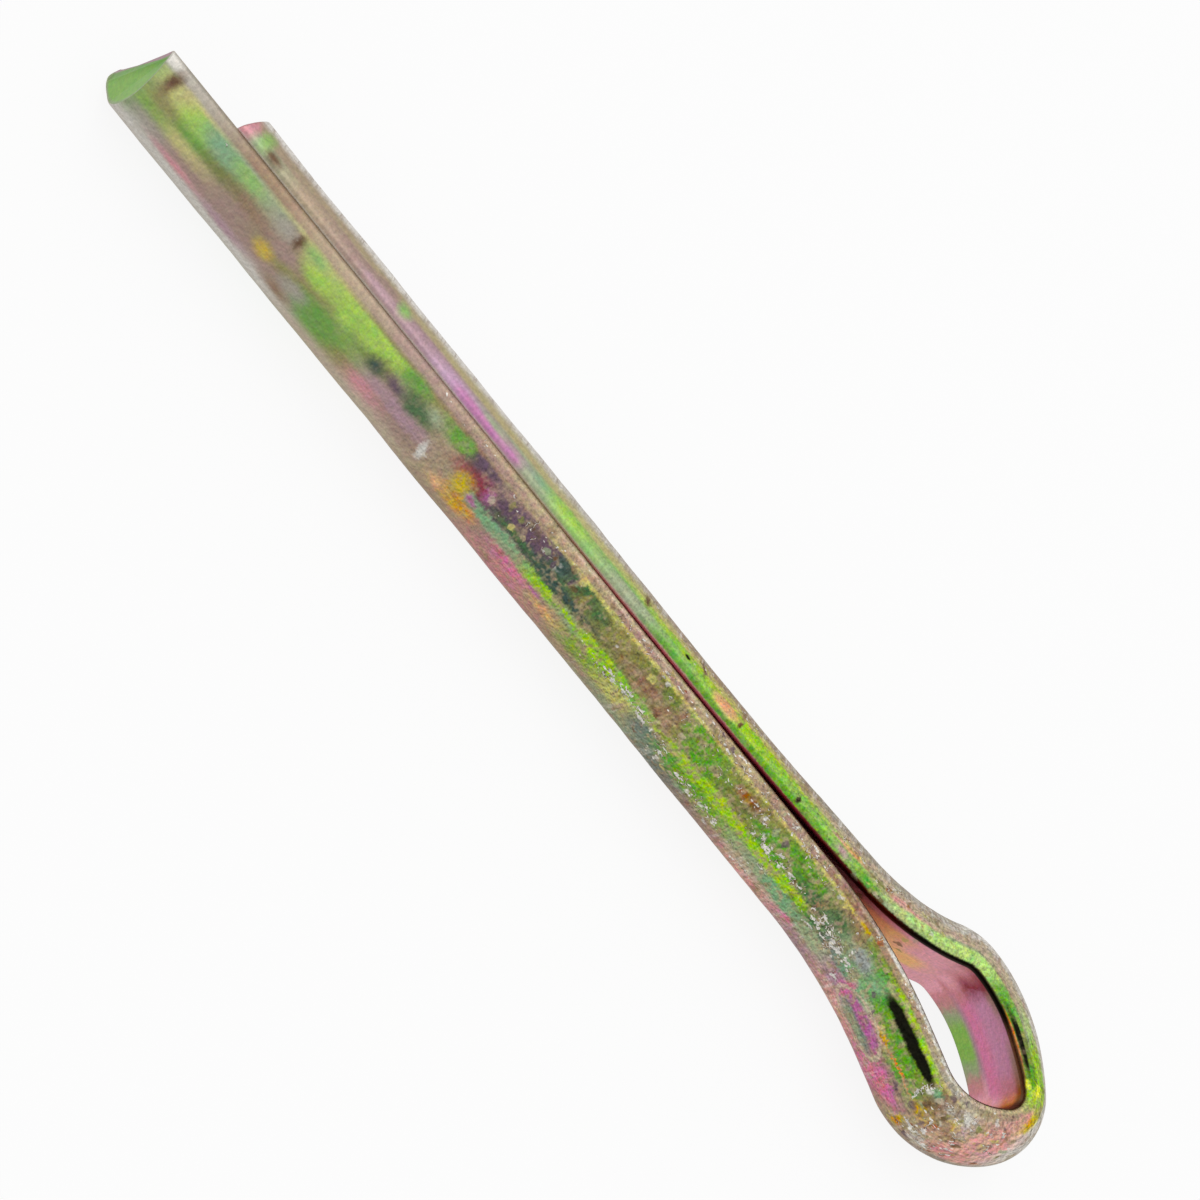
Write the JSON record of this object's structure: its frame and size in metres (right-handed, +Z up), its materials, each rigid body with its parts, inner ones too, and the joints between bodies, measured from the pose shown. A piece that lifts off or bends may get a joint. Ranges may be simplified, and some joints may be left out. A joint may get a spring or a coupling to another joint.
{
  "type": "cotter pin",
  "caption": "Split cotter pin of half-round wire, bent back on itself into an eye, with a longer and a shorter leg whose flats meet in a round shank.",
  "frame": {"origin": "on the axis of the round shank, where the short leg begins to part from the long one; the pin lies on its side, so the surface it rests on is half a shank below", "axes": "+X along the shank from the tips to the eye, +Z up, and the split between the legs lies in the XZ plane, with the short leg on the +Y side"},
  "size_m": [0.0464, 0.0069, 0.0036],
  "materials": {
    "zinc_plated_wire": "yellow-passivated zinc plating on steel wire, satin, with a green, gold and mauve interference sheen and silver rubbed spots"
  },
  "bodies": {
    "root": {"cotter_pin": "zinc_plated_wire"}
  },
  "joints": []
}
